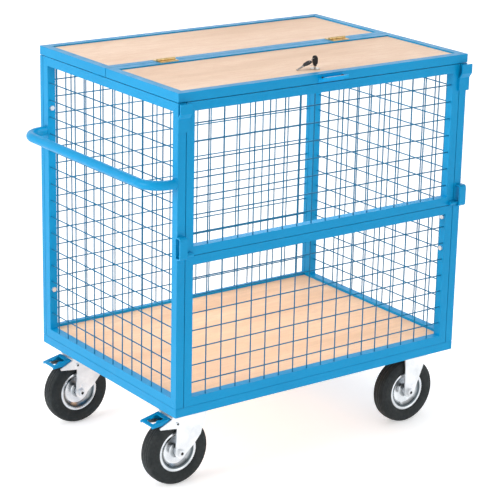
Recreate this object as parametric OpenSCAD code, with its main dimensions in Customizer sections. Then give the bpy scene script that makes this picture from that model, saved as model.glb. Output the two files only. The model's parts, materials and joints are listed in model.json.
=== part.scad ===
// Lockable mesh-sided box truck on four castors, with a hinged board lid and a drop-down front gate.
// Units are millimetres, +Z is up, the floor is at z = 0 and the gate faces -Y.

/* [Body] */
// outer length of the body, between the two end frames' outer faces
body_length = 1000; // [940:10:1060]
// outer width of the body, front face to back face
body_width = 715; // [700:5:760]
// height of the body, from the underside of the chassis to the top of the lid rim
body_height = 905; // [905:50:1005]
// side of the square tube in the end, front and gate frames
tube = 25; // [22:1:28]
// wall thickness of the frame tubes
tube_wall = 1.5; // [1:0.5:2.5]

/* [Mesh] */
// spacing of the welded wires
mesh_pitch = 50; // [45:1:60]
// wire diameter
wire_d = 3.5; // [3:0.5:5]

/* [Boards] */
// thickness of the two lid boards
board_t = 18; // [12:1:20]
// thickness of the deck board
deck_t = 18; // [12:1:20]

/* [Handle] */
// diameter of the push handle tube
handle_d = 27; // [24:1:32]
// distance from the end frame to the centre line of the handle grip
handle_reach = 75; // [65:5:95]

/* [Castors] */
// overall height of a castor, floor to chassis
castor_height = 235; // [230:1:245]
// tyre diameter
wheel_d = 200; // [190:5:200]
// tyre width
wheel_w = 50; // [46:1:52]
// trail of the swivel castors, swivel axis to axle
trail = 54; // [48:1:60]

/* [Hidden] */
$fn = 48;
blue = [0.10, 0.52, 0.80];
wood = [0.95, 0.80, 0.65];
zinc = [0.80, 0.81, 0.82];
brass = [0.80, 0.62, 0.30];
black = [0.07, 0.07, 0.08];
gap = 2;
seam = 1.5;
half_l = body_length / 2;
half_w = body_width / 2;
z_chassis = castor_height;
z_top = castor_height + body_height;
angle_t = 3;
rim_h = 25;
z_deck = z_chassis + rim_h;
z_wall = z_deck + seam;
z_lid = z_top - rim_h;
z_frames_top = z_lid - gap;
frame_h = z_frames_top - z_wall;
back_depth = 15;
end_width = body_width - back_depth - gap;
y_back = half_w - back_depth;
front_bolt_z = [z_wall + 299, z_wall + 395];
back_bolt_z = [z_wall + 150, z_wall + 702];
inner_half = half_l - tube - gap;
lower_h = 430;
end_first = 52.5;
z_gate = z_wall + lower_h + 1.5;
gate_top = z_lid - 2;
gate_h = gate_top - z_gate;
pivot_y = -half_w - 8.5;
pivot_z = z_gate + 6;
pin_r = 4.5;
strap_w = 24;
strap_reach = 20.5;
strap_t = 4;
ear_out = half_l + 4.5;
pull_w = 86;
pull_reach = 24;
handle_z = z_chassis + 660;
handle_x = -half_l - handle_reach;
handle_mid = end_width / 2 - half_w;
handle_half = (end_width - tube) / 2;
handle_bend = 60;
castor_x = 390;
castor_y = 268;
bolt_x = 52.5;
bolt_y = 45;
wheel_z = wheel_d / 2;
axle_r = 6;
fork_in = wheel_w / 2 + 5.5;
fork_t = 4;
pedal_x = -66;
pedal_z = wheel_z + 90;
lock_y = -285;
ledge_t = 3;
ledge_w = 15;
board_top = z_lid + ledge_t + board_t;
hinge_x = 303;
hinge_l = 60;
knuckle_r = 4;
leaf_t = 2;
leaf_w = 21;
hinge_z = z_top + knuckle_r + 0.2;
hinge_y = 0;
off_x = (half_l + handle_reach + handle_d / 2 - ear_out) / 2;
off_y = (half_w + pull_reach - half_w) / 2;

// moves body-centred geometry so that the whole part stands centred over the origin
module placed() {
  translate([off_x, off_y, 0]) children();
}

// box given by its low and high corners
module box(low, high) {
  translate(low) cube(high - low);
}

// cylinder along X, centred on the given point
module bar_x(at, r, l) {
  translate(at) rotate([0, 90, 0]) cylinder(r = r, h = l, center = true);
}

// cylinder along Y, centred on the given point
module bar_y(at, r, l) {
  translate(at) rotate([90, 0, 0]) cylinder(r = r, h = l, center = true);
}

// cylinder along Z, centred on the given point
module bar_z(at, r, l) {
  translate(at) cylinder(r = r, h = l, center = true);
}

// hollow rectangular tube frame lying in XZ from the origin, face width w and depth d along +Y
module tube_ring(l, h, w, d) {
  in = tube_wall;
  difference() {
    cube([l, d, h]);
    translate([w, -1, w]) cube([l - 2 * w, d + 2, h - 2 * w]);
    difference() {
      translate([in, in, in]) cube([l - 2 * in, d - 2 * in, h - 2 * in]);
      translate([w - in, 0, w - in]) cube([l - 2 * (w - in), d, h - 2 * (w - in)]);
    }
    for (x = [l * 0.2, l * 0.8]) bar_z([x, d / 2, 0], 3, 4);
  }
}

// welded wire grid in XZ: upright wires at the xs, level wires at the zs just behind them
module wire_grid(xs, zs, x_low, x_high, z_low, z_high) {
  step = wire_d * 0.9;
  for (x = xs) translate([x, 0, z_low]) cylinder(d = wire_d, h = z_high - z_low);
  for (z = zs) translate([x_low, step, z]) rotate([0, 90, 0]) cylinder(d = wire_d, h = x_high - x_low);
}

// values spaced evenly about a middle
function spread(mid, step, n) = [for (i = [0 : n - 1]) mid + step * (i - (n - 1) / 2)];

// hexagon bolt head or nut, axis along Z
module hex(af, h) {
  cylinder(d = af / cos(30), h = h, $fn = 6);
}

// ---------- chassis and deck ----------

// angle frame with its level leg at the top, and a slightly inset strip for the walls to stand on
module chassis_frame() color(blue) placed() {
  leg = 40;
  difference() {
    union() {
      box([-half_l, -half_w, z_chassis], [half_l, half_w, z_deck]);
      box([-half_l + 1, -half_w + 1, z_deck - 5], [half_l - 1, half_w - 1, z_wall]);
    }
    box([-half_l + angle_t, -half_w + angle_t, z_chassis - 1],
        [half_l - angle_t, half_w - angle_t, z_deck - 4]);
    box([-half_l + tube, -half_w + tube, z_deck], [half_l - tube, y_back, z_wall + 1]);
    box([-half_l + leg, -half_w + leg, z_chassis], [half_l - leg, half_w - leg, z_wall]);
  }
}

// cross plates between the chassis angles
module castor_mount_plates() color(blue) placed() {
  in = half_w - angle_t;
  difference() {
    for (sx = [-1, 1])
      box([sx * castor_x - 69, -in, z_chassis], [sx * castor_x + 69, in, z_chassis + 4]);
    castor_holes();
  }
}

// the four bolt holes of every castor plate
module castor_holes() {
  for (sx = [-1, 1], sy = [-1, 1], hx = [-bolt_x, bolt_x], hy = [-bolt_y, bolt_y])
    bar_z([sx * castor_x + hx, sy * castor_y + hy, z_chassis], 5.5, 20);
}

// lies on the chassis angles, inside the walls
module deck_board() color(wood) placed() {
  in = tube + 0.7;
  box([-half_l + in, -half_w + in, z_deck], [half_l - in, y_back - 0.7, z_deck + deck_t]);
}

// ---------- wall frames and meshes ----------

// end frame in its own plane: runs along +X of the ring, turned to stand along Y
module end_ring() {
  translate([-half_l, -half_w, z_wall]) mirror([1, -1, 0]) tube_ring(end_width, frame_h, tube, tube);
}

module end_holes() {
  for (z = front_bolt_z) bar_x([-half_l + tube, -half_w + tube / 2, z], 4.2, 12);
  for (z = back_bolt_z) bar_y([-half_l + tube / 2, y_back - gap, z], 4.2, 2 * tube + 8);
}

module left_end_frame() color(blue) placed() difference() {
  end_ring();
  end_holes();
}

module right_end_frame() color(blue) placed() mirror([1, 0, 0]) difference() {
  end_ring();
  end_holes();
}

module end_mesh() {
  y_low = -half_w + tube;
  y_high = -half_w + end_width - tube;
  first = y_low + end_first;
  ys = [for (i = [0 : floor((y_high - first - 20) / mesh_pitch)]) first + i * mesh_pitch];
  zs = spread(z_wall + frame_h / 2, mesh_pitch, floor((frame_h - 2 * tube - 50) / mesh_pitch));
  translate([-half_l + 4, 0, 0]) mirror([1, -1, 0])
    wire_grid(ys, zs, y_low, y_high, z_wall + tube, z_frames_top - tube);
}

module left_end_mesh() color(blue) placed() end_mesh();

module right_end_mesh() color(blue) placed() mirror([1, 0, 0]) end_mesh();

module back_frame() color(blue) placed() difference() {
  translate([-half_l, y_back, z_wall]) tube_ring(body_length, frame_h, tube, back_depth);
  for (sx = [-1, 1], z = back_bolt_z) bar_y([sx * (half_l - tube / 2), y_back, z], 4.2, 12);
}

module back_mesh() color(blue) placed() {
  xs = spread(0, mesh_pitch, 2 * floor((half_l - tube - 20) / mesh_pitch) + 1);
  zs = spread(z_wall + frame_h / 2, mesh_pitch, floor((frame_h - 2 * tube - 50) / mesh_pitch));
  translate([0, half_w - 4, 0]) mirror([0, 1, 0])
    wire_grid(xs, zs, -half_l + tube, half_l - tube, z_wall + tube, z_frames_top - tube);
}

module lower_front_frame() color(blue) placed() difference() {
  translate([-inner_half, -half_w, z_wall]) tube_ring(2 * inner_half, lower_h, tube, tube);
  for (sx = [-1, 1], z = front_bolt_z)
    bar_x([sx * inner_half, -half_w + tube / 2, z], 4.2, 2 * tube + 10);
}

// front wire grid between two heights, behind the front plane
module front_grid(z_low, z_high) {
  xs = spread(0, mesh_pitch, 2 * floor((inner_half - tube - 30) / mesh_pitch) + 1);
  zs = spread((z_low + z_high) / 2, mesh_pitch, floor((z_high - z_low - 20) / mesh_pitch));
  translate([0, -half_w + 4, 0])
    wire_grid(xs, zs, -inner_half + tube, inner_half - tube, z_low, z_high);
}

module lower_front_mesh() color(blue) placed()
  front_grid(z_wall + tube, z_wall + lower_h - tube);

// ---------- top: rear fixed half and front lid ----------

// square tube rim with a flat ledge inside it that carries the board
module rim(y_low, y_high) {
  in = tube_wall;
  side = tube + ledge_w;
  difference() {
    box([-half_l, y_low, z_lid], [half_l, y_high, z_top]);
    box([-half_l + tube, y_low + tube, z_lid + ledge_t], [half_l - tube, y_high - tube, z_top + 1]);
    box([-half_l + side, y_low + side, z_lid - 1], [half_l - side, y_high - side, z_top]);
    difference() {
      box([-half_l + in, y_low + in, z_lid + in], [half_l - in, y_high - in, z_top - in]);
      box([-half_l + tube - in, y_low + tube - in, z_lid],
          [half_l - tube + in, y_high - tube + in, z_top]);
    }
    for (x = [-0.7, 0.7]) bar_z([x * half_l, y_low + tube / 2, z_lid], 3, 5);
  }
}

// board lying on the ledge, a little below the rim's top
module rim_board(y_low, y_high) {
  in = tube + 0.3;
  box([-half_l + in, y_low + in, z_lid + ledge_t], [half_l - in, y_high - in, board_top]);
}

module rear_top_frame() color(blue) placed() {
  rim(1.2, half_w);
  for (sx = [-1, 1], y = [40, half_w - 60])
    box([sx * (half_l - 12) - 10, y, z_frames_top], [sx * (half_l - 12) + 10, y + 30, z_lid]);
}

module rear_top_board() color(wood) placed() rim_board(1.2, half_w);

module lid_frame() color(blue) placed() rim(-half_w, -1.2);

module lid_board() color(wood) placed() difference() {
  rim_board(-half_w, -1.2);
  bar_z([0, lock_y, z_lid], 11.2, 90);
}

// outline given in Y and Z, extruded along X and centred on x = 0
module along_x(l) {
  translate([-l / 2, 0, 0]) rotate([90, 0, 90]) linear_extrude(height = l) children();
}

// outline given in X and Z, extruded along Y and centred on y = 0
module along_y(l) {
  translate([0, l / 2, 0]) rotate([90, 0, 0]) linear_extrude(height = l) children();
}

module lid_pull() color(blue) placed() translate([0, -half_w, z_lid])
  along_x(pull_w) polygon([
    [0, 2], [0, 22], [-2.5, 22], [-2.5, 15], [3 - pull_reach, 15], [3 - pull_reach, 19],
    [-pull_reach, 19], [-pull_reach, 12], [-2.5, 12], [-2.5, 2]
  ]);

// ---------- brass butt hinges across the joint of the two rims ----------

// one leaf with its knuckles: side 1 lies on the rear rim, side -1 on the lid
module leaf(side, slots, bored) {
  seg = hinge_l / 5;
  clear = knuckle_r + 0.6;
  difference() {
    union() {
      box([-hinge_l / 2, side > 0 ? clear : -leaf_w, -knuckle_r - 0.2],
          [hinge_l / 2, side > 0 ? leaf_w : -clear, leaf_t - knuckle_r - 0.2]);
      for (i = slots) {
        x = (i - 2) * seg;
        bar_x([x, 0, 0], knuckle_r, seg - 0.8);
        box([x - seg / 2 + 0.4, side > 0 ? 0 : -clear, -knuckle_r - 0.2],
            [x + seg / 2 - 0.4, side > 0 ? clear : 0, leaf_t - knuckle_r - 0.2]);
      }
      for (x = [-20, 0, 20]) bar_z([x, side * 13, leaf_t - knuckle_r], 3.2, 1.4);
    }
    if (bored) bar_x([0, 0, 0], 1.55, hinge_l + 2);
  }
  if (!bored) bar_x([0, 0, 0], 1.5, hinge_l);
}

module fixed_leaf() leaf(1, [0, 2, 4], false);

module moving_leaf() leaf(-1, [1, 3], true);

module hinge_left_fixed() color(brass) placed() translate([-hinge_x, hinge_y, hinge_z]) fixed_leaf();

module hinge_right_fixed() color(brass) placed() translate([hinge_x, hinge_y, hinge_z]) fixed_leaf();

module hinge_left_moving() color(brass) placed() translate([-hinge_x, hinge_y, hinge_z]) moving_leaf();

module hinge_right_moving() color(brass) placed() translate([hinge_x, hinge_y, hinge_z]) moving_leaf();

// ---------- lock, keys and key ring ----------

lock_top = board_top + 2.5;
strike_low = gate_top - 6;
cam_t = 3;
cam_top = strike_low - 0.6;
hole_z = lock_top + 29;
ring_r = 14;
ring_lean = 57;

module at_lock() translate([0, lock_y, 0]) children();

module lock_body() color(zinc) placed() at_lock() difference() {
  union() {
    translate([0, 0, board_top]) cylinder(r = 14, h = 2.5);
    translate([0, 0, cam_top + 0.4]) cylinder(r = 11, h = board_top - cam_top - 0.4);
  }
  translate([0, 0, cam_top - 1]) cylinder(r = 6.05, h = 50);
}

module lock_cam() color(zinc) placed() at_lock() {
  translate([0, 0, cam_top]) cylinder(r = 6, h = lock_top - cam_top);
  box([-9, -9, cam_top - cam_t], [40, 9, cam_top]);
  translate([0, 0, cam_top - cam_t - 5]) hex(10, 5);
}

module key_blade() color(zinc) placed() at_lock()
  box([-1.1, -4, lock_top], [1.1, 4, lock_top + 9]);

// rounded key bow outline in its own plane, neck at the origin and hole near the far end
module bow_outline(hole_r) {
  difference() {
    union() {
      translate([0, 10]) circle(r = 10);
      translate([0, 17]) circle(r = 10);
      translate([-10, 10]) square([20, 7]);
      translate([-5, -2]) square([10, 5]);
    }
    translate([0, 20]) circle(r = hole_r);
  }
}

module key_bow() color(black) placed() at_lock() translate([0, 0, lock_top + 9]) difference() {
  along_x(4.5) bow_outline(2.6);
  box([-1.1, -4, -5], [1.1, 4, 0]);
}

// ring passing through the bow's hole and leaning towards the back of the lid
module at_ring() at_lock() translate([0, 0, hole_z]) rotate([90 - ring_lean, 0, 0]) children();

module key_ring() color(zinc) placed() at_ring() translate([0, 0, -ring_r])
  rotate([90, 0, 0]) rotate_extrude() translate([ring_r, 0]) circle(r = 0.8);

spare_tilt = 23.5;
spare_y = ring_r * cos(ring_lean);
spare_z = hole_z - ring_r * sin(ring_lean);

// lies from the ring down to the board, pointing left
module at_spare() translate([-ring_r, lock_y + spare_y, spare_z]) rotate([0, -spare_tilt, 0])
  rotate([0, 0, 90]) translate([0, -20, 0]) children();

module spare_key_bow() color(black) placed() at_spare() translate([0, 40, 0]) mirror([0, 1, 0])
  translate([0, 0, -1.2]) linear_extrude(height = 2.4) bow_outline(2.9);

module spare_key_blade() color(zinc) placed() at_spare() translate([0, 42, 0]) difference() {
  box([-4, 0, -1], [4, 24, 1]);
  for (i = [0 : 3]) translate([4, 5 + 5 * i, 0]) cylinder(r = 1.5 + 0.3 * (i % 2), h = 4, center = true);
}

// ---------- push handle ----------

// bent tube centre line swept with radius r, its two ends run on by the given length
module handle_path(r, over) {
  straight = handle_reach - handle_bend + over;
  run = 2 * (handle_half - handle_bend);
  translate([0, handle_mid, handle_z]) {
    for (sy = [-1, 1]) {
      bar_x([over - half_l - straight / 2, sy * handle_half, 0], r, straight);
      translate([handle_x + handle_bend, sy * (handle_half - handle_bend), 0])
        rotate([0, 0, sy > 0 ? 90 : 180])
          rotate_extrude(angle = 90) translate([handle_bend, 0]) circle(r = r);
    }
    bar_y([handle_x, 0, 0], r, run);
  }
}

module push_handle() color(blue) placed() difference() {
  handle_path(handle_d / 2, 0);
  handle_path(handle_d / 2 - 2, 1);
}

// ---------- gate and its hardware ----------

module strap_outline(reach, low, high, r) {
  translate([-reach + r, low]) square([reach - r, high - low]);
  translate([-reach, low + r]) square([reach, high - low - 2 * r]);
  for (z = [low + r, high - r]) translate([-reach + r, z]) circle(r = r);
}

// closed strap on the post: the gate's pin sits at the foot of its slot
module gate_strap() translate([-half_l - 4 + strap_w / 2, -half_w, pivot_z]) along_x(strap_w) difference() {
  strap_outline(strap_reach, -9, 54, 8);
  difference() {
    strap_outline(strap_reach - strap_t, strap_t - 9, 54 - strap_t, 4);
    translate([-0.01, -20]) square([1, 90]);
  }
}

module gate_bracket_left() color(blue) placed() gate_strap();

module gate_bracket_right() color(blue) placed() mirror([1, 0, 0]) gate_strap();

module gate_frame() color(blue) placed()
  translate([-inner_half, -half_w, z_gate]) tube_ring(2 * inner_half, gate_h, tube, tube);

module gate_mesh() color(blue) placed() front_grid(z_gate + tube, gate_top - tube);

// plate over the post at each top corner of the gate, its upper half flared forward
module gate_ears() color(blue) placed() for (side = [0, 1]) mirror([side, 0, 0]) {
  translate([-ear_out + 18.5, -half_w, gate_top - 78]) along_x(37) polygon([
    [-4, 0], [-7.5, 0], [-7.5, 38], [-17.5, 52], [-17.5, 78], [-14, 78], [-14, 53.5], [-4, 39.5]
  ]);
  box([-inner_half + 0.5, -half_w - 4, gate_top - 78], [-ear_out + 37, -half_w, gate_top - 42]);
}

module gate_pins() color(blue) placed() for (side = [0, 1]) mirror([side, 0, 0]) {
  bar_x([-half_l + 24, pivot_y, pivot_z], pin_r, 44);
  box([-half_l + 28, pivot_y, pivot_z - 4.5], [-half_l + 45, -half_w, pivot_z + 6]);
}

module gate_strike() color(blue) placed() {
  y = -half_w + tube;
  box([-14, y, strike_low], [14, y + 16, strike_low + 3]);
  box([-14, y, strike_low - 12], [14, y + 3, strike_low + 3]);
}

// ---------- castors ----------

plate_low = z_chassis - 4;
head_low = plate_low - 18;
crown_t = 6;

module plate() difference() {
  box([-67.5, -55, plate_low], [67.5, 55, z_chassis]);
  for (x = [-bolt_x, bolt_x], y = [-bolt_y, bolt_y]) bar_z([x, y, z_chassis], 5.5, 20);
}

module swivel_top() {
  plate();
  translate([0, 0, plate_low - 8]) cylinder(r1 = 30, r2 = 36, h = 8);
  translate([0, 0, head_low - crown_t - 3]) cylinder(r = 8, h = 20);
  translate([0, 0, head_low - crown_t - 7]) hex(19, 6.4);
}

module leg_pair(points, x) {
  for (sy = [-1, 1]) translate([0, sy * (fork_in + fork_t / 2), 0]) along_y(fork_t) difference() {
    union() {
      polygon(points);
      translate([x, wheel_z]) circle(r = 17);
    }
    translate([x, wheel_z]) circle(r = axle_r + 0.1);
  }
}

module swivel_fork() {
  wide = fork_in + fork_t;
  crown_z = head_low - crown_t;
  difference() {
    union() {
      translate([0, 0, head_low]) cylinder(r = 37, h = 9.5);
      box([-trail - 30, -wide, crown_z], [32, wide, head_low]);
    }
    translate([0, 0, crown_z - 1]) cylinder(r = 8.05, h = 30);
  }
  leg_pair([
    [32, crown_z], [30, crown_z - 10], [12, wheel_z + 43], [-12, wheel_z + 15],
    [-trail + 14, wheel_z - 8], [-trail - 16, wheel_z - 3], [-trail - 14, wheel_z + 76],
    [-trail - 68, wheel_z + 83], [-trail - 70, wheel_z + 88], [-trail - 30, crown_z]
  ], -trail);
  for (sy = [-1, 1]) {
    bar_y([pedal_x, sy * (fork_in - 1.5), pedal_z], 4, 3);
    bar_y([pedal_x, sy * (wide + 1), pedal_z], 6, 2);
  }
}

// tread plate with turned-down sides that pivot on the fork's rivets
module brake_pedal() {
  difference() {
    along_y(2 * fork_in - 1) polygon([
      [-88, wheel_z + 108], [-88, wheel_z + 111], [-147, wheel_z + 98], [-147, wheel_z + 95]
    ]);
    translate([-118, 0, wheel_z + 100]) {
      cube([38, 24, 40], center = true);
      for (x = [-12, 12]) translate([x, 0, 0]) cube([14, 36, 40], center = true);
    }
  }
  for (sy = [-1, 1]) translate([0, sy * (fork_in - 2), 0]) along_y(3) difference() {
    union() {
      polygon([
        [-60, wheel_z + 84], [-60, wheel_z + 95], [-88, wheel_z + 104], [-88, wheel_z + 111],
        [-147, wheel_z + 98], [-147, wheel_z + 91], [-104, wheel_z + 94], [-74, wheel_z + 84]
      ]);
      translate([pedal_x, pedal_z]) circle(r = 8);
    }
    translate([pedal_x, pedal_z]) circle(r = 4.05);
  }
}

module axle_bolt(x) translate([x, 0, wheel_z]) {
  wide = fork_in + fork_t;
  bar_y([0, 0, 0], axle_r, 2 * wide + 14);
  for (sy = [-1, 1]) {
    bar_y([0, sy * (fork_in - 1.1), 0], 9, 2.2);
    rotate([sy * 90, 0, 0]) translate([0, 0, wide]) hex(19, sy > 0 ? 7 : 9);
    rotate([sy * 90, 0, 0]) translate([0, 0, wide]) cylinder(r = 12, h = 1.6);
  }
}

// turns a profile of radius and width about the axle
module turned(x) translate([x, 0, wheel_z]) rotate([90, 0, 0]) rotate_extrude($fn = 96) children();

module rim_disc(x) turned(x) polygon([
  [axle_r + 0.05, 28], [14, 28], [14, 13], [22, 9], [40, 9], [49, 18], [56, 21], [61, 20],
  [61, -20], [56, -21], [49, -18], [40, -9], [22, -9], [14, -13], [14, -28], [axle_r + 0.05, -28]
]);

module tyre(x) {
  half = wheel_w / 2;
  r = wheel_d / 2;
  turned(x) polygon([
    [61, 19.8], [65, half - 3], [72, half], [r - 12, half], [r - 5, half - 2], [r - 1, half - 8],
    [r, half - 11], [r, 6], [r - 2, 5], [r - 2, 3], [r, 2], [r, -2], [r - 2, -3], [r - 2, -5], [r, -6],
    [r, 11 - half], [r - 1, 8 - half], [r - 5, 2 - half], [r - 12, -half], [72, -half],
    [65, 3 - half], [61, -19.8]
  ]);
}

// bent plate fork, wider on the side away from the push handle
module fixed_fork() {
  plate();
  box([-25, -fork_in - fork_t, plate_low - 5], [67, fork_in + fork_t, plate_low]);
  leg_pair([
    [67, plate_low - 5], [65, plate_low - 16], [17, wheel_z - 3], [-17, wheel_z - 3],
    [-22, plate_low - 20], [-25, plate_low - 5]
  ], 0);
}

module front_left() placed() translate([-castor_x, -castor_y, 0]) children();

module back_left() placed() translate([-castor_x, castor_y, 0]) children();

module front_right() placed() translate([castor_x, -castor_y, 0]) children();

module back_right() placed() translate([castor_x, castor_y, 0]) children();

module swivel_top_fl() color(zinc) front_left() swivel_top();

module swivel_fork_fl() color(zinc) front_left() swivel_fork();

module axle_fl() color(zinc) front_left() axle_bolt(-trail);

module brake_pedal_fl() color(blue) front_left() brake_pedal();

module rim_fl() color(zinc) front_left() rim_disc(-trail);

module tyre_fl() color(black) front_left() tyre(-trail);

module swivel_top_bl() color(zinc) back_left() swivel_top();

module swivel_fork_bl() color(zinc) back_left() swivel_fork();

module axle_bl() color(zinc) back_left() axle_bolt(-trail);

module brake_pedal_bl() color(blue) back_left() brake_pedal();

module rim_bl() color(zinc) back_left() rim_disc(-trail);

module tyre_bl() color(black) back_left() tyre(-trail);

module fixed_fork_fr() color(zinc) front_right() fixed_fork();

module axle_fr() color(zinc) front_right() axle_bolt(0);

module rim_fr() color(zinc) front_right() rim_disc(0);

module tyre_fr() color(black) front_right() tyre(0);

module fixed_fork_br() color(zinc) back_right() fixed_fork();

module axle_br() color(zinc) back_right() axle_bolt(0);

module rim_br() color(zinc) back_right() rim_disc(0);

module tyre_br() color(black) back_right() tyre(0);

// ---------- fasteners ----------

// hex-headed bolts that join the back and the lower front frame to the end frames
module frame_bolts() color(zinc) placed() for (side = [0, 1]) mirror([side, 0, 0]) {
  y_head = y_back - gap - tube;
  for (z = back_bolt_z) translate([-half_l + tube / 2, y_head, z]) rotate([-90, 0, 0]) {
    translate([0, 0, -5.5]) hex(13, 5.5);
    cylinder(r = 4, h = tube + 8);
  }
  for (z = front_bolt_z) translate([-inner_half + tube, -half_w + tube / 2, z]) rotate([0, -90, 0]) {
    translate([0, 0, -5.5]) hex(13, 5.5);
    cylinder(r = 4, h = tube + 8);
  }
}

// threaded studs set in the castor mounting plates, with nuts under the castors
module castor_bolts() color(zinc) placed()
  for (sx = [-1, 1], sy = [-1, 1], hx = [-bolt_x, bolt_x], hy = [-bolt_y, bolt_y])
    translate([sx * castor_x + hx, sy * castor_y + hy, 0]) {
      translate([0, 0, plate_low - 10]) cylinder(r = 5, h = z_chassis + 4 - plate_low + 10);
      translate([0, 0, plate_low - 8]) hex(17, 8);
    }

chassis_frame();
castor_mount_plates();
deck_board();
left_end_frame();
left_end_mesh();
right_end_frame();
right_end_mesh();
back_frame();
back_mesh();
lower_front_frame();
lower_front_mesh();
rear_top_frame();
rear_top_board();
push_handle();
gate_bracket_left();
gate_bracket_right();
frame_bolts();
castor_bolts();
hinge_left_fixed();
hinge_right_fixed();
lid_frame();
lid_board();
lid_pull();
hinge_left_moving();
hinge_right_moving();
lock_body();
key_blade();
key_bow();
lock_cam();
key_ring();
spare_key_blade();
spare_key_bow();
gate_frame();
gate_mesh();
gate_ears();
gate_pins();
gate_strike();
swivel_top_fl();
swivel_fork_fl();
axle_fl();
brake_pedal_fl();
rim_fl();
tyre_fl();
swivel_top_bl();
swivel_fork_bl();
axle_bl();
brake_pedal_bl();
rim_bl();
tyre_bl();
fixed_fork_fr();
axle_fr();
rim_fr();
tyre_fr();
fixed_fork_br();
axle_br();
rim_br();
tyre_br();
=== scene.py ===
"""Mesh-sided security box truck: finishes, fine pieces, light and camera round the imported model."""
import json
import math

import bmesh
import bpy
from mathutils import Matrix, Vector, noise


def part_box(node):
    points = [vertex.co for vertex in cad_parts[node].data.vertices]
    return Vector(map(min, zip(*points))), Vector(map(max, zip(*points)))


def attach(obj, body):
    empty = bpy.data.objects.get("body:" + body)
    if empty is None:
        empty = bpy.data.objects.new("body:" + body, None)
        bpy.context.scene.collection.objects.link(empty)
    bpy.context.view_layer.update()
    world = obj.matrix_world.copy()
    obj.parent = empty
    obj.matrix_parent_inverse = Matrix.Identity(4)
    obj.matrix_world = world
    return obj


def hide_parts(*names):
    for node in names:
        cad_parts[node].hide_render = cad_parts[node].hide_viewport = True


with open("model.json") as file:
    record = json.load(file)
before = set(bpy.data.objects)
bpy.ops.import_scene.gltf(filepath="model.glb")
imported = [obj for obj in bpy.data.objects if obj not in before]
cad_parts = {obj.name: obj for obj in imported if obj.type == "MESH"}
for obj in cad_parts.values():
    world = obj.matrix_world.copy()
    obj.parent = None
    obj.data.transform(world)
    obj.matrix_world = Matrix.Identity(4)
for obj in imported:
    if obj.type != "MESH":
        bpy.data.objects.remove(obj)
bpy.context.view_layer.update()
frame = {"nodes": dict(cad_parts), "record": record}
NODES = frame["nodes"]
SCENE = bpy.context.scene

MM = 0.001  # metres in a millimetre
TUBE = 25 * MM  # the frames' square tube
PITCH = 50 * MM  # from wire to wire in the welded mesh

# ---------------------------------------------------------------- shader helpers


class Shader:
    """A material whose nodes are added one call at a time."""

    def __init__(self, name):
        self.mat = bpy.data.materials.new(name)
        self.mat.use_nodes = True
        self.tree = self.mat.node_tree
        self.bsdf = next(n for n in self.tree.nodes if n.type == "BSDF_PRINCIPLED")
        self.coord = self.add("ShaderNodeTexCoord").outputs["Object"]

    def add(self, kind, **props):
        node = self.tree.nodes.new(kind)
        for key, value in props.items():
            setattr(node, key, value)
        return node

    def put(self, socket, value):
        """Links a socket, or sets it to a number, colour or vector."""
        if isinstance(value, bpy.types.NodeSocket):
            self.tree.links.new(value, socket)
        else:
            socket.default_value = value

    def fixed(self, **values):
        """Sets plain values on the surface's sockets, with _ for each space in a name."""
        for key, value in values.items():
            self.bsdf.inputs[key.replace("_", " ")].default_value = value

    def stretch(self, scale, shift=(0, 0, 0)):
        """The object's coordinates, scaled along each axis and then shifted."""
        node = self.add("ShaderNodeMapping")
        self.put(node.inputs["Vector"], self.coord)
        node.inputs["Scale"].default_value = scale
        node.inputs["Location"].default_value = shift
        return node.outputs["Vector"]

    def noise(self, vector, scale, detail=4.0, rough=0.5):
        node = self.add("ShaderNodeTexNoise")
        self.put(node.inputs["Vector"], vector)
        node.inputs["Scale"].default_value = scale
        node.inputs["Detail"].default_value = detail
        node.inputs["Roughness"].default_value = rough
        return node.outputs["Fac"]

    def cells(self, vector, scale):
        node = self.add("ShaderNodeTexVoronoi", feature="F1")
        self.put(node.inputs["Vector"], vector)
        node.inputs["Scale"].default_value = scale
        return node.outputs["Distance"]

    def remap(self, value, a, b, lo, hi):
        node = self.add("ShaderNodeMapRange")
        self.put(node.inputs["Value"], value)
        for key, number in zip(("From Min", "From Max", "To Min", "To Max"), (a, b, lo, hi)):
            node.inputs[key].default_value = number
        return node.outputs["Result"]

    def math(self, operation, a, b=0.0):
        node = self.add("ShaderNodeMath", operation=operation)
        self.put(node.inputs[0], a)
        self.put(node.inputs[1], b)
        return node.outputs["Value"]

    def mix(self, factor, a, b):
        node = self.add("ShaderNodeMix", data_type="RGBA")
        self.put(node.inputs["Factor"], factor)
        self.put(node.inputs["A"], a)
        self.put(node.inputs["B"], b)
        return node.outputs["Result"]

    def ramp(self, value, stops):
        node = self.add("ShaderNodeValToRGB")
        self.put(node.inputs["Fac"], value)
        ramp = node.color_ramp
        while len(ramp.elements) < len(stops):
            ramp.elements.new(0.5)
        for element, (at, colour) in zip(ramp.elements, stops):
            element.position = at
            element.color = colour
        return node.outputs["Color"]

    def edge(self):
        """1 on sharp outer edges, 0 on flat faces."""
        node = self.add("ShaderNodeNewGeometry")
        return self.remap(node.outputs["Pointiness"], 0.52, 0.6, 0.0, 1.0)

    def bump(self, *layers):
        """Each layer is (height, strength, distance in metres)."""
        normal = None
        for height, strength, distance in layers:
            node = self.add("ShaderNodeBump")
            node.inputs["Strength"].default_value = strength
            node.inputs["Distance"].default_value = distance
            self.put(node.inputs["Height"], height)
            if normal:
                self.put(node.inputs["Normal"], normal)
            normal = node.outputs["Normal"]
        self.put(self.bsdf.inputs["Normal"], normal)

    def colour(self, value):
        self.put(self.bsdf.inputs["Base Color"], value)

    def roughness(self, value):
        self.put(self.bsdf.inputs["Roughness"], value)


def rgb(r, g, b):
    return (r, g, b, 1.0)


# ---------------------------------------------------------------- finishes


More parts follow.
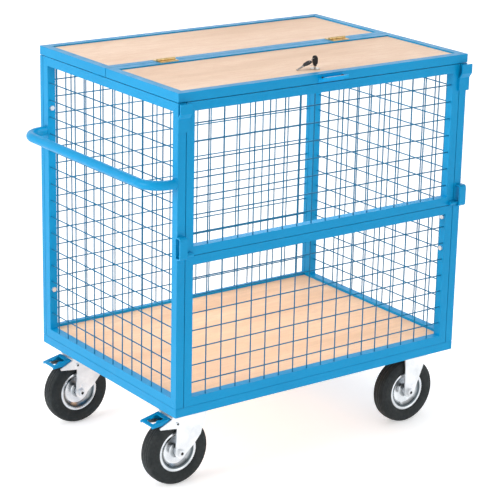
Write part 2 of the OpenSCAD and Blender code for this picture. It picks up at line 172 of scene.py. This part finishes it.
def powder_coat(name, painted_light_scale):
    """Semi-gloss blue. The last argument scales the colour as painted light: 1 on frames, less on the
    thin wires as painted shade, more on the lid's pull as painted light.
    """
    s = Shader(name)

    def blue(g, b):
        return rgb(0.0, g * painted_light_scale, b * painted_light_scale)

    broad = s.noise(s.coord, 2.3, 3.0)
    base = s.ramp(broad, [(0.3, blue(0.232, 0.480)), (0.7, blue(0.262, 0.530))])
    mottle = s.remap(s.noise(s.coord, 140.0, 3.0), 0.42, 0.72, 0.0, 0.12)
    base = s.mix(mottle, base, blue(0.32, 0.60))
    dust = s.remap(s.noise(s.coord, 9.0, 6.0, 0.7), 0.56, 0.8, 0.0, 0.05)
    s.colour(s.mix(dust, base, rgb(0.10 * painted_light_scale, 0.38 * painted_light_scale, 0.55 * painted_light_scale)))
    s.roughness(s.remap(s.noise(s.coord, 30.0, 4.0), 0.3, 0.7, 0.30, 0.42))
    s.fixed(Specular_IOR_Level=0.15, Coat_Weight=0.04, Coat_Roughness=0.12)
    peel = s.noise(s.coord, 620.0, 2.0)
    waves = s.noise(s.coord, 90.0, 2.0)
    s.bump((peel, 0.16, 0.0003), (waves, 0.10, 0.0008))
    return s.mat


PLY_LAYER = 3.6 * MM


def plywood(name, tones):
    """Beech-faced board. tones are the colours of its dark, middle and light areas."""
    s = Shader(name)
    drift = s.noise(s.stretch((0.9, 5.0, 5.0)), 2.0, 3.0)
    base = s.ramp(drift, list(zip((0.25, 0.5, 0.78), tones)))

    # growth rings: bands of a stretched noise
    warp = s.noise(s.stretch((1.2, 7.0, 7.0), (3.1, 0, 0)), 3.0, 4.0)
    rings = s.math("FRACT", s.math("MULTIPLY", warp, 9.0))
    rings = s.remap(s.math("ABSOLUTE", s.math("SUBTRACT", rings, 0.5)), 0.0, 0.5, 0.0, 1.0)
    base = s.mix(s.math("MULTIPLY", rings, 0.36), base, rgb(0.68, 0.42, 0.29))

    # fine fibre and short dark flecks along the grain
    fibre = s.noise(s.stretch((9.0, 420.0, 420.0)), 1.0, 6.0, 0.6)
    base = s.mix(s.remap(fibre, 0.45, 0.75, 0.0, 0.36), base, rgb(0.62, 0.39, 0.27))
    spacing = s.cells(s.stretch((60.0, 520.0, 520.0)), 1.0)
    fleck = s.remap(spacing, 0.05, 0.20, 0.65, 0.0)
    base = s.mix(fleck, base, rgb(0.40, 0.21, 0.11))

    # the layers, seen on the board's upright edges only
    normal = s.add("ShaderNodeSeparateXYZ")
    s.put(normal.inputs["Vector"], s.add("ShaderNodeNewGeometry").outputs["Normal"])
    side = s.remap(s.math("ABSOLUTE", normal.outputs["Z"]), 0.3, 0.6, 1.0, 0.0)
    place = s.add("ShaderNodeSeparateXYZ")
    s.put(place.inputs["Vector"], s.coord)
    ply = s.math("FRACT", s.math("MULTIPLY", place.outputs["Z"], 1.0 / PLY_LAYER))
    ply = s.remap(ply, 0.46, 0.54, 0.0, 0.7)
    s.colour(s.mix(s.math("MULTIPLY", side, ply), base, rgb(0.33, 0.19, 0.10)))

    s.roughness(s.remap(fibre, 0.3, 0.7, 0.46, 0.62))
    s.fixed(Specular_IOR_Level=0.35)
    s.bump((fibre, 0.22, 0.0003), (fleck, 0.25, -0.0002))
    return s.mat


def zinc_plate():
    """Bright zinc on forks, plates and bolts, with a faint spangle."""
    s = Shader("zinc_plate")
    flow = s.noise(s.coord, 26.0, 4.0)
    base = s.ramp(flow, [(0.3, rgb(0.66, 0.68, 0.70)), (0.7, rgb(0.86, 0.87, 0.88))])
    spangle = s.cells(s.coord, 240.0)
    base = s.mix(s.remap(spangle, 0.1, 0.7, 0.0, 0.22), base, rgb(0.60, 0.63, 0.66))
    s.colour(base)
    s.roughness(s.remap(s.noise(s.coord, 70.0, 4.0), 0.3, 0.7, 0.26, 0.42))
    s.fixed(Metallic=0.88)
    s.bump((s.noise(s.coord, 300.0, 3.0), 0.12, 0.0003), (s.noise(s.coord, 40.0, 2.0), 0.12, 0.001))
    return s.mat


DISC_RADIUS = 61.0 * MM
# painted shade: brightness of the disc from its middle (0) to its edge (1), dark where hub step,
# groove and rolled edge would be shaded: hub, web, dark groove, rolled edge
DISC_PAINTED_SHADE_BANDS = [
    (at, rgb(level, level, level))
    for at, level in (
        (0.0, 1.0), (0.20, 1.0), (0.25, 0.3), (0.31, 0.6), (0.36, 1.0), (0.68, 1.0),
        (0.75, 0.3), (0.79, 0.04), (0.85, 0.04), (0.88, 0.9), (0.97, 1.0), (1.0, 0.3),
    )
]


def wheel_disc(axle):
    """Bright pressed steel with fine turning marks round the axle, and rings of painted shade."""
    s = Shader("wheel_disc")
    from_axle = s.add("ShaderNodeSeparateXYZ")
    s.put(from_axle.inputs["Vector"], s.stretch((1, 1, 1), -axle))
    x, z = from_axle.outputs["X"], from_axle.outputs["Z"]
    radius = s.math("SQRT", s.math("ADD", s.math("MULTIPLY", x, x), s.math("MULTIPLY", z, z)))
    line = s.add("ShaderNodeTexNoise", noise_dimensions="1D")
    s.put(line.inputs["W"], radius)
    line.inputs["Scale"].default_value = 1500.0
    line.inputs["Detail"].default_value = 3.0
    lines = line.outputs["Fac"]
    cloud = s.noise(s.coord, 35.0, 3.0)
    base = s.ramp(cloud, [(0.3, rgb(0.60, 0.63, 0.66)), (0.7, rgb(0.84, 0.86, 0.88))])
    base = s.mix(s.remap(lines, 0.4, 0.7, 0.0, 0.3), base, rgb(0.48, 0.51, 0.55))
    # painted shade: dark rings by distance from the axle, standing in for the shade in the disc's
    # groove and steps
    painted_shade_rings = s.ramp(s.math("DIVIDE", radius, DISC_RADIUS), DISC_PAINTED_SHADE_BANDS)
    s.colour(s.mix(painted_shade_rings, rgb(0.055, 0.075, 0.085), base))
    s.roughness(s.remap(lines, 0.3, 0.7, 0.14, 0.27))
    s.fixed(Metallic=1.0, Anisotropic=0.4)
    s.bump((lines, 0.12, 0.0002))
    return s.mat


def brass():
    """Brushed brass plate of the hinges, paler on its edges."""
    s = Shader("brass_plate")
    cloud = s.noise(s.coord, 90.0, 4.0)
    base = s.ramp(cloud, [(0.3, rgb(0.62, 0.38, 0.12)), (0.7, rgb(0.83, 0.58, 0.24))])
    s.colour(s.mix(s.math("MULTIPLY", s.edge(), 0.5), base, rgb(0.95, 0.78, 0.45)))
    scratch = s.noise(s.stretch((60.0, 1800.0, 1800.0)), 1.0, 3.0)
    s.roughness(s.remap(scratch, 0.3, 0.7, 0.24, 0.42))
    s.fixed(Metallic=1.0)
    s.bump((scratch, 0.10, 0.0002))
    return s.mat


def nickel():
    """Brushed nickel of the lock, the key blades and the ring."""
    s = Shader("nickel_plate")
    cloud = s.noise(s.coord, 120.0, 4.0)
    s.colour(s.ramp(cloud, [(0.3, rgb(0.36, 0.34, 0.32)), (0.7, rgb(0.58, 0.56, 0.53))]))
    scratch = s.noise(s.stretch((900.0, 120.0, 900.0)), 1.0, 3.0)
    s.roughness(s.remap(scratch, 0.3, 0.7, 0.18, 0.34))
    s.fixed(Metallic=1.0)
    s.bump((scratch, 0.08, 0.0002))
    return s.mat


def moulded_black():
    """Black plastic of the key bows."""
    s = Shader("moulded_black")
    cloud = s.noise(s.coord, 300.0, 4.0)
    base = s.ramp(cloud, [(0.3, rgb(0.003, 0.003, 0.004)), (0.7, rgb(0.009, 0.009, 0.010))])
    s.colour(s.mix(s.math("MULTIPLY", s.edge(), 0.3), base, rgb(0.04, 0.04, 0.045)))
    s.roughness(s.remap(s.noise(s.coord, 500.0, 3.0), 0.3, 0.7, 0.34, 0.5))
    s.fixed(Specular_IOR_Level=0.14)
    s.bump((s.noise(s.coord, 1800.0, 2.0), 0.2, 0.0002))
    return s.mat


def rubber():
    """Matt black rubber with pale dust in patches."""
    s = Shader("tyre_rubber")
    cloud = s.noise(s.coord, 14.0, 5.0)
    base = s.ramp(cloud, [(0.3, rgb(0.006, 0.009, 0.010)), (0.7, rgb(0.013, 0.017, 0.018))])
    dust = s.remap(s.noise(s.coord, 60.0, 6.0, 0.65), 0.52, 0.8, 0.0, 0.28)
    s.colour(s.mix(dust, base, rgb(0.06, 0.065, 0.067)))
    s.roughness(s.remap(s.noise(s.coord, 110.0, 4.0), 0.3, 0.7, 0.50, 0.72))
    s.fixed(Specular_IOR_Level=0.3)
    s.bump((s.noise(s.coord, 900.0, 4.0), 0.25, 0.0003), (s.noise(s.coord, 70.0, 2.0), 0.1, 0.0008))
    return s.mat


def shadow_black():
    """Painted shade: near-black standing in for the shade at the bottom of small recesses; also the
    dark heads on the pull.
    """
    s = Shader("shade_and_head_black")
    cloud = s.noise(s.coord, 400.0)
    s.colour(s.ramp(cloud, [(0.3, rgb(0.006, 0.006, 0.007)), (0.7, rgb(0.016, 0.016, 0.018))]))
    s.roughness(s.remap(s.noise(s.coord, 600.0), 0.3, 0.7, 0.6, 0.85))
    s.bump((s.noise(s.coord, 1500.0), 0.2, 0.0002))
    return s.mat


def pale_floor():
    """Near-white ground that glows a little, so that the shadow under the truck stays light."""
    s = Shader("studio_floor")
    cloud = s.noise(s.coord, 0.7, 3.0)
    s.colour(s.ramp(cloud, [(0.3, rgb(0.93, 0.93, 0.93)), (0.7, rgb(0.96, 0.96, 0.96))]))
    s.roughness(s.remap(s.noise(s.coord, 5.0), 0.3, 0.7, 0.55, 0.7))
    s.fixed(Specular_IOR_Level=0.2, Emission_Color=rgb(1.0, 1.0, 1.0), Emission_Strength=0.40)
    return s.mat


BLUE = powder_coat("blue_powder_coat", 1.0)
# painted shade: a darker copy of the frames' blue for the thin wires and their nuggets
BLUE_WIRE_PAINTED_SHADE = powder_coat("blue_wire_painted_shade_coat", 0.5)
# painted light: a lighter copy of the frames' blue for the pull, standing in for light on its shaded
# lip
BLUE_PULL_PAINTED_LIGHT = powder_coat("blue_pull_painted_light_coat", 1.35)
LID_TONES = (rgb(0.66, 0.455, 0.315), rgb(0.79, 0.58, 0.43), rgb(0.87, 0.675, 0.53))
DECK_TONES = (rgb(0.76, 0.46, 0.27), rgb(0.87, 0.56, 0.35), rgb(0.94, 0.65, 0.43))
PLY = plywood("beech_plywood", LID_TONES)
DECK_PLY = plywood("deck_plywood", DECK_TONES)
ZINC = zinc_plate()
BRASS = brass()
NICKEL = nickel()
BLACK = moulded_black()
RUBBER = rubber()
# painted shade: near-black for the inside of small recesses, also used as the colour of the pull's
# dark heads
SHADE_AND_HEAD_BLACK = shadow_black()
BY_SLOT = {
    "blue_paint": BLUE,
    "plywood": PLY,
    "brass": BRASS,
    "key_plastic": BLACK,
    "tyre_rubber": RUBBER,
    "lock_steel": NICKEL,
    "zinc_plate": ZINC,
}


def centre(node):
    low, high = (Vector(v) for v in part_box(node))
    return (low + high) / 2


SWIVELS = ("fl", "bl")
CORNERS = SWIVELS + ("fr", "br")
WHEEL = {c: centre("rim_" + c) for c in CORNERS}
# the pull gets the lighter copy of the blue paint as painted light
BY_NODE = {"deck_board": DECK_PLY, "lid_pull": BLUE_PULL_PAINTED_LIGHT}


def finish_of(node, slot):
    """A node's own finish if it has one, otherwise its slot's. Each disc has its own centre."""
    if slot == "wheel_rim":
        return wheel_disc(WHEEL[node[-2:]])
    # the wires get the darker copy of the blue paint as painted shade
    if node.endswith("_mesh"):
        return BLUE_WIRE_PAINTED_SHADE
    return BY_NODE.get(node, BY_SLOT[slot])


def finish_nodes():
    for part in frame["record"]["subparts"]:
        mat = finish_of(part["node"], part["material_slot"])
        for place in NODES[part["node"]].material_slots:
            place.material = mat


finish_nodes()


def soften(width, nodes, segments=2):
    """Rounds the hard edges of CAD nodes with a bevel modifier."""
    for node in nodes:
        mod = NODES[node].modifiers.new("soft_edges", "BEVEL")
        mod.width = width
        mod.segments = segments
        mod.limit_method = "ANGLE"
        mod.angle_limit = math.radians(40)
        mod.harden_normals = False


WALL_FRAMES = ["left_end_frame", "right_end_frame", "lower_front_frame", "gate_frame"]
THIN_FRAMES = ["back_frame", "rear_top_frame", "lid_frame"]
ANGLE_AND_STRAP = ["chassis_frame", "gate_ears", "gate_bracket_left", "gate_bracket_right"]
PEDALS = ["brake_pedal_fl", "brake_pedal_bl"]
BOARDS = ["lid_board", "rear_top_board", "deck_board"]
FORKS = ["swivel_fork_fl", "swivel_fork_bl", "fixed_fork_fr", "fixed_fork_br"]
LOCK_AND_KEYS = ["key_bow", "spare_key_bow", "lock_body"]

soften(2.2 * MM, WALL_FRAMES, 3)
soften(1.8 * MM, THIN_FRAMES, 3)
soften(0.9 * MM, ANGLE_AND_STRAP + ["gate_pins"])
soften(0.8 * MM, ["lid_pull"] + PEDALS + BOARDS)
soften(0.7 * MM, FORKS + LOCK_AND_KEYS)

# ---------------------------------------------------------------- new pieces


def piece(name, bm, mat, body):
    """Turns a bmesh into a smooth piece that rides a body."""
    mesh = bpy.data.meshes.new(name)
    bmesh.ops.recalc_face_normals(bm, faces=bm.faces)
    bm.to_mesh(mesh)
    bm.free()
    mesh.shade_smooth()
    obj = bpy.data.objects.new(name, mesh)
    SCENE.collection.objects.link(obj)
    mesh.materials.append(mat)
    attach(obj, body)
    return obj


def turned(profile, angle, matrix=Matrix.Identity(4)):
    """The points of an outline of (radius, along-axis), turned by an angle about local Z."""
    c, s = math.cos(angle), math.sin(angle)
    return [matrix @ Vector((r * c, r * s, h)) for r, h in profile]


def close_ring(bm, rings):
    """Faces between each outline of points and the next one, all the way round."""
    for here, after in zip(rings, rings[1:] + rings[:1]):
        for k in range(len(here)):
            n = (k + 1) % len(here)
            bm.faces.new((here[k], after[k], after[n], here[n]))


def revolve(bm, profile, matrix, steps):
    """Closed outline of (radius, along-axis) turned about the local Z axis."""
    rings = []
    for i in range(steps):
        points = turned(profile, 2 * math.pi * i / steps, matrix)
        rings.append([bm.verts.new(p) for p in points])
    close_ring(bm, rings)


BEAD_GRAIN = 400  # how fast the bead's wobble changes along it, per metre


def bead(bm, start, end, out, width, height, ripple=2.4 * MM):
    """Rippled half-round weld bead from start to end, proud of a face with normal out."""
    start, end, out = Vector(start), Vector(end), Vector(out).normalized()
    along = end - start
    length = along.length
    along.normalize()
    across = along.cross(out)
    count = max(4, int(length / ripple) * 3)
    arc_steps = 6
    rows = []
    for i in range(count + 1):
        t = i / count
        swell = 0.82 + 0.18 * math.sin(2 * math.pi * t * length / ripple)
        taper = min(1.0, 6 * t, 6 * (1 - t)) ** 0.5
        wobble = 0.12 * width * noise.noise(start + along * t * length * BEAD_GRAIN)
        row = []
        for j in range(arc_steps + 1):
            angle = math.pi * j / arc_steps
            side = math.cos(angle) * width / 2 * (0.4 + 0.6 * taper) + wobble
            up = (math.sin(angle) * swell * taper - 0.15) * height
            row.append(bm.verts.new(start + along * t * length + across * side + out * up))
        rows.append(row)
    for here, after in zip(rows, rows[1:]):
        for j in range(arc_steps):
            bm.faces.new((here[j], here[j + 1], after[j + 1], after[j]))
        bm.faces.new((here[-1], here[0], after[0], after[-1]))
    bm.faces.new(rows[0])
    bm.faces.new(list(reversed(rows[-1])))


def ring_bead(bm, matrix, radius, width, height):
    """Weld fillet round a tube where it meets a flat face: local Z is the tube's axis."""
    steps, ripples = 96, 30
    root, sunk = radius - 0.4 * MM, -0.2 * MM
    rings = []
    for i in range(steps):
        angle = 2 * math.pi * i / steps
        swell = 0.85 + 0.15 * math.sin(angle * ripples)
        profile = [
            (root, sunk),
            (radius + width * swell, sunk),
            (radius + width * 0.55 * swell, height * 0.4 * swell),
            (root, height * swell),
        ]
        rings.append([bm.verts.new(p) for p in turned(profile, angle, matrix)])
    close_ring(bm, rings)


def frame_welds(name, node, body, axis, sign):
    """Mitre welds on one face of a rectangular frame: axis is the face's normal axis."""
    low, high = (Vector(v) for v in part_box(node))
    u, v = [k for k in range(3) if k != axis]
    out = Vector((0, 0, 0))
    out[axis] = sign
    inset = 2.0 * MM
    bm = bmesh.new()
    for at_low_u in (True, False):
        for at_low_v in (True, False):
            start, end = Vector((0, 0, 0)), Vector((0, 0, 0))
            start[axis] = end[axis] = high[axis] if sign > 0 else low[axis]
            for k, at_low in ((u, at_low_u), (v, at_low_v)):
                start[k] = low[k] + inset if at_low else high[k] - inset
                end[k] = low[k] + TUBE - inset if at_low else high[k] - TUBE + inset
            bead(bm, start, end, out, 3.0 * MM, 0.35 * MM)
    piece(name, bm, BLUE, body)


frame_welds("weld_left_end", "left_end_frame", "base", 0, -1)
frame_welds("weld_right_end", "right_end_frame", "base", 0, 1)
frame_welds("weld_back", "back_frame", "base", 1, 1)
frame_welds("weld_lower_front", "lower_front_frame", "base", 1, -1)
frame_welds("weld_gate", "gate_frame", "gate", 1, -1)
frame_welds("weld_lid", "lid_frame", "lid", 2, 1)
frame_welds("weld_rear_top", "rear_top_frame", "base", 2, 1)


def handle_welds():
    """A fillet round each end of the push handle, on the left end frame's face."""
    low, high = (Vector(v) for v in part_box("push_handle"))
    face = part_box("left_end_frame")[0][0]
    radius = (high.z - low.z) / 2
    bm = bmesh.new()
    outward = Matrix.Rotation(-math.pi / 2, 4, "Y")
    for y in (low.y + radius, high.y - radius):
        at = Matrix.Translation((face, y, (low.z + high.z) / 2)) @ outward
        ring_bead(bm, at, radius, 3.2 * MM, 3.4 * MM)
    piece("weld_handle", bm, BLUE, "base")


handle_welds()


NUGGET_RADIUS = 2.3 * MM
NUGGET_GRAIN = 900


def nuggets(name, body, columns, rows, plane, painted_light_scale):
    """Small weld nuggets where the wires of a grid cross. plane is the grid's normal axis."""
    bm = bmesh.new()
    across = 1 - plane
    for c in columns:
        for r in rows:
            at = Vector((0, 0, r))
            at[across] = c
            at[plane] = painted_light_scale
            size = NUGGET_RADIUS * (1 + 0.1 * noise.noise(at * NUGGET_GRAIN))
            spot = Matrix.Translation(at) @ Matrix.Diagonal((size, size, size, 1))
            bmesh.ops.create_icosphere(bm, subdivisions=1, radius=1.0, matrix=spot)
    piece(name, bm, BLUE_WIRE_PAINTED_SHADE, body)


def spread(mid, step, count):
    """Evenly stepped places, centred on mid."""
    return [mid + step * (i - (count - 1) / 2) for i in range(count)]


END_FIRST_WIRE = 52.5 * MM
END_COLUMNS, FULL_ROWS = 12, 15
# node, body, upright wires, level wires
LONG_GRIDS = (
    ("lower_front_mesh", "base", 17, 7),
    ("gate_mesh", "gate", 17, 7),
    ("back_mesh", "base", 19, FULL_ROWS),
)


def mesh_nuggets():
    """Nuggets on all five meshes."""
    for node, body, columns, rows in LONG_GRIDS:
        low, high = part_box(node)
        xs = spread((low[0] + high[0]) / 2, PITCH, columns)
        zs = spread((low[2] + high[2]) / 2, PITCH, rows)
        nuggets("spots_" + node, body, xs, zs, 1, (low[1] + high[1]) / 2)
    for node in ("left_end_mesh", "right_end_mesh"):
        low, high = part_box(node)
        ys = [low[1] + END_FIRST_WIRE + i * PITCH for i in range(END_COLUMNS)]
        zs = spread((low[2] + high[2]) / 2, PITCH, FULL_ROWS)
        nuggets("spots_" + node, "base", ys, zs, 0, (low[0] + high[0]) / 2)


mesh_nuggets()

# half of the tyre's outline in mm, (radius, distance from the middle): bead, side, shoulder, tread
TYRE_HALF = [
    (61.0, 20.0), (61.6, 21.6), (63.5, 22.0), (65.0, 22.4), (67.0, 23.8), (70.0, 24.5),
    (74.0, 24.8), (79.0, 24.9), (84.0, 24.7), (87.2, 24.3), (88.0, 23.5), (88.8, 24.0),
    (91.0, 23.4), (92.0, 22.6), (92.6, 21.8), (93.4, 22.3), (95.6, 20.8), (97.4, 18.4),
    (98.4, 16.2), (98.9, 14.6), (99.0, 13.9), (97.0, 13.5), (97.0, 12.3), (99.4, 11.9),
    (99.9, 9.0), (99.9, 6.6), (97.8, 6.2), (97.8, 5.2), (99.9, 4.8), (100.0, 2.0),
]


def tyres():
    """Grooved cushion tyres in place of the plain CAD ones."""
    outline = TYRE_HALF + [(r, -h) for r, h in reversed(TYRE_HALF)]
    profile = [(r * MM, h * MM) for r, h in outline]
    for c in CORNERS:
        bm = bmesh.new()
        at = Matrix.Translation(WHEEL[c]) @ Matrix.Rotation(math.pi / 2, 4, "X")
        revolve(bm, profile, at, 192)
        obj = piece("cushion_tyre_" + c, bm, RUBBER, "wheel_" + c)
        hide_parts("tyre_" + c)


tyres()

CORE = 0.02 * MM  # radius of the pinhole that keeps a turned outline off its own axis
SUNK = -0.2 * MM  # how far a turned piece starts inside the face it stands on


def collar(bm, at, outer, inner, height):
    """Raised ring round a sunk middle, like the end of a hollow axle."""
    floor, foot = -0.1 * MM, -0.5 * MM
    profile = [
        (CORE, floor),
        (inner * 0.9, floor),
        (inner, floor * 0.8),
        (inner, height * 0.7),
        (inner + 0.5 * MM, height),
        (outer - 0.7 * MM, height),
        (outer, height * 0.6),
        (outer, foot),
        (CORE, foot),
    ]
    revolve(bm, profile, at, 48)


def facing(point, side):
    """A placement at a point whose local Z looks along Y, to the side given as -1 or 1."""
    return Matrix.Translation(point) @ Matrix.Rotation(-side * math.pi / 2, 4, "X")


def capped_ends(ring_name, painted_shade_name, body, ends, outer, inner, height, dish):
    """A zinc collar and a dished middle painted near-black as shade at each end. ends are placements.
    """
    rings, painted_shade_middles = bmesh.new(), bmesh.new()
    for at in ends:
        collar(rings, at, outer, inner, height)
        # the dished middle is painted shade, not a hole
        revolve(painted_shade_middles, dish, at, 40)
    piece(ring_name, rings, ZINC, body)
    piece(painted_shade_name, painted_shade_middles, SHADE_AND_HEAD_BLACK, body)


BORE_DISH = [
    (CORE, 0.15 * MM),
    (3.0 * MM, 0.2 * MM),
    (4.5 * MM, 0.45 * MM),
    (4.5 * MM, SUNK),
    (CORE, SUNK),
]


def axle_ends():
    """A hollow-looking end on both sides of every axle: its dark middle is painted shade."""
    for c in CORNERS:
        body = "swivel_" + c if c in SWIVELS else "base"
        low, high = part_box("axle_" + c)
        ends = [
            facing((WHEEL[c].x, y, WHEEL[c].z), side) for y, side in ((low[1], -1), (high[1], 1))
        ]
        capped_ends(
            "axle_collar_" + c, "axle_bore_painted_shade_" + c, body, ends,
            7.0 * MM, 4.6 * MM, 1.0 * MM, BORE_DISH,
        )


axle_ends()

PEDAL_PIVOT = Vector((-66.0, 0.0, 90.0)) * MM  # from the swivel's axis, at the axle's height
RIVET_FACE = 36.5 * MM
RIVET_INNER = 3.4 * MM
RIVET_DISH = [
    (CORE, 0.15 * MM),
    (RIVET_INNER * 0.97, 0.35 * MM),
    (RIVET_INNER * 0.97, SUNK),
    (CORE, SUNK),
]


def pedal_rivets():
    """Rivet ends on both sides of each pedal's pivot, with painted shade in their middles."""
    for c in SWIVELS:
        plate = centre("swivel_top_" + c)
        pivot = Vector((plate.x, plate.y, WHEEL[c].z)) + PEDAL_PIVOT
        ends = [facing(pivot + Vector((0, side * RIVET_FACE, 0)), side) for side in (-1, 1)]
        name = "rivet_" + c
        capped_ends(
            "collar_" + name, "middle_" + name, "swivel_" + c, ends,
            5.6 * MM, RIVET_INNER, 0.8 * MM, RIVET_DISH,
        )


pedal_rivets()


def pull_heads():
    """Two dark bolt heads on the shelf of the lid's pull, close to the rim."""
    low, high = (Vector(v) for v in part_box("lid_pull"))
    dome = [
        (CORE, 3.4 * MM),
        (2.4 * MM, 3.0 * MM),
        (3.9 * MM, 1.2 * MM),
        (4.2 * MM, SUNK),
        (CORE, SUNK),
    ]
    bm = bmesh.new()
    for x in (low.x + 9 * MM, high.x - 9 * MM):
        at = Matrix.Translation((x, high.y - 8 * MM, low.z + 13 * MM))
        revolve(bm, dome, at, 40)
    piece("pull_heads", bm, SHADE_AND_HEAD_BLACK, "lid")


def painted_highlight_lip():
    """Painted highlight: a thin bright zinc bead along the top of the pull's lip, standing in for the
    light caught by its edge.
    """
    low, high = (Vector(v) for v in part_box("lid_pull"))
    y, z = low.y + 1.5 * MM, low.z + 17 * MM
    start, end = (low.x + 4 * MM, y, z), (high.x - 4 * MM, y, z)
    bm = bmesh.new()
    bead(bm, start, end, (0, -0.35, 1), 2.4 * MM, 0.9 * MM, ripple=40 * MM)
    # painted highlight piece, not bare metal
    piece("pull_painted_highlight_lip", bm, ZINC, "lid")


painted_highlight_lip()
pull_heads()

# ---------------------------------------------------------------- stage, light, camera


def stage():
    """Round floor that curves up into a low wall far from the truck."""
    flat, bend, wall = 10.0, 4.0, 9.0
    steps, flat_steps, bend_steps = 96, 4, 12
    profile = [(flat * k / flat_steps, 0.0) for k in range(1, flat_steps + 1)]
    for k in range(1, bend_steps + 1):
        a = math.pi / 2 * k / bend_steps
        profile.append((flat + bend * math.sin(a), bend * (1 - math.cos(a))))
    profile.append((flat + bend, wall))
    bm = bmesh.new()
    middle = bm.verts.new((0, 0, 0))
    rings = []
    for i in range(steps):
        points = turned(profile, 2 * math.pi * i / steps)
        rings.append([bm.verts.new(p) for p in points])
    for here, after in zip(rings, rings[1:] + rings[:1]):
        bm.faces.new((middle, here[0], after[0]))
        for k in range(len(profile) - 1):
            bm.faces.new((here[k], here[k + 1], after[k + 1], after[k]))
    mesh = bpy.data.meshes.new("studio_floor")
    bm.to_mesh(mesh)
    bm.free()
    mesh.shade_smooth()
    floor = bpy.data.objects.new("studio_floor", mesh)
    floor.location.z = -0.2 * MM
    mesh.materials.append(pale_floor())
    SCENE.collection.objects.link(floor)


def area(name, place, target, size, power):
    """Soft rectangular light. size is in metres, power in watts."""
    data = bpy.data.lights.new(name, "AREA")
    data.energy = power
    data.shape = "RECTANGLE"
    data.size, data.size_y = size
    obj = bpy.data.objects.new(name, data)
    obj.location = place
    obj.rotation_euler = (Vector(target) - Vector(place)).to_track_quat("-Z", "Y").to_euler()
    obj.visible_camera = False
    SCENE.collection.objects.link(obj)


def lights():
    """White surroundings, one key from the left, and soft fills. One fill lights the deck."""
    world = bpy.data.worlds.new("studio")
    world.use_nodes = True
    back = world.node_tree.nodes["Background"]
    back.inputs["Color"].default_value = rgb(1.0, 1.0, 1.0)
    back.inputs["Strength"].default_value = 0.53
    SCENE.world = world
    area("key_left", (-4.6, 0.2, 2.4), (0, 0, 0.6), (2.6, 2.6), 105)
    area("top", (-0.4, 0.4, 4.2), (0, 0, 0.5), (3.5, 3.5), 47)
    area("front_fill", (1.8, -4.5, 1.8), (0, 0, 0.5), (2.4, 2.0), 6)
    area("inside", (0.04, 0.0, 1.095), (0.04, 0.0, 0.0), (0.85, 0.55), 5)


CAMERA_AT = Vector((-3.115, -4.299, 2.233))
AZIMUTH, ELEVATION, ROLL = (math.radians(a) for a in (36.19, -17.59, 1.23))
LENS, SENSOR = 136.55, 36.0


def camera():
    """Long lens from the front left, above the lid, rolled slightly."""
    data = bpy.data.cameras.new("camera")
    data.lens, data.sensor_width = LENS, SENSOR
    level = math.cos(ELEVATION)
    look = Vector((math.sin(AZIMUTH) * level, math.cos(AZIMUTH) * level, math.sin(ELEVATION)))
    right = look.cross(Vector((0, 0, 1))).normalized()
    up = right.cross(look)
    c, s = math.cos(ROLL), math.sin(ROLL)
    right, up = c * right + s * up, c * up - s * right
    obj = bpy.data.objects.new("camera", data)
    turn = Matrix((right, up, -look)).transposed().to_4x4()
    obj.matrix_world = Matrix.Translation(CAMERA_AT) @ turn
    SCENE.collection.objects.link(obj)
    SCENE.camera = obj


stage()
lights()
camera()
SCENE.view_settings.view_transform = "Standard"
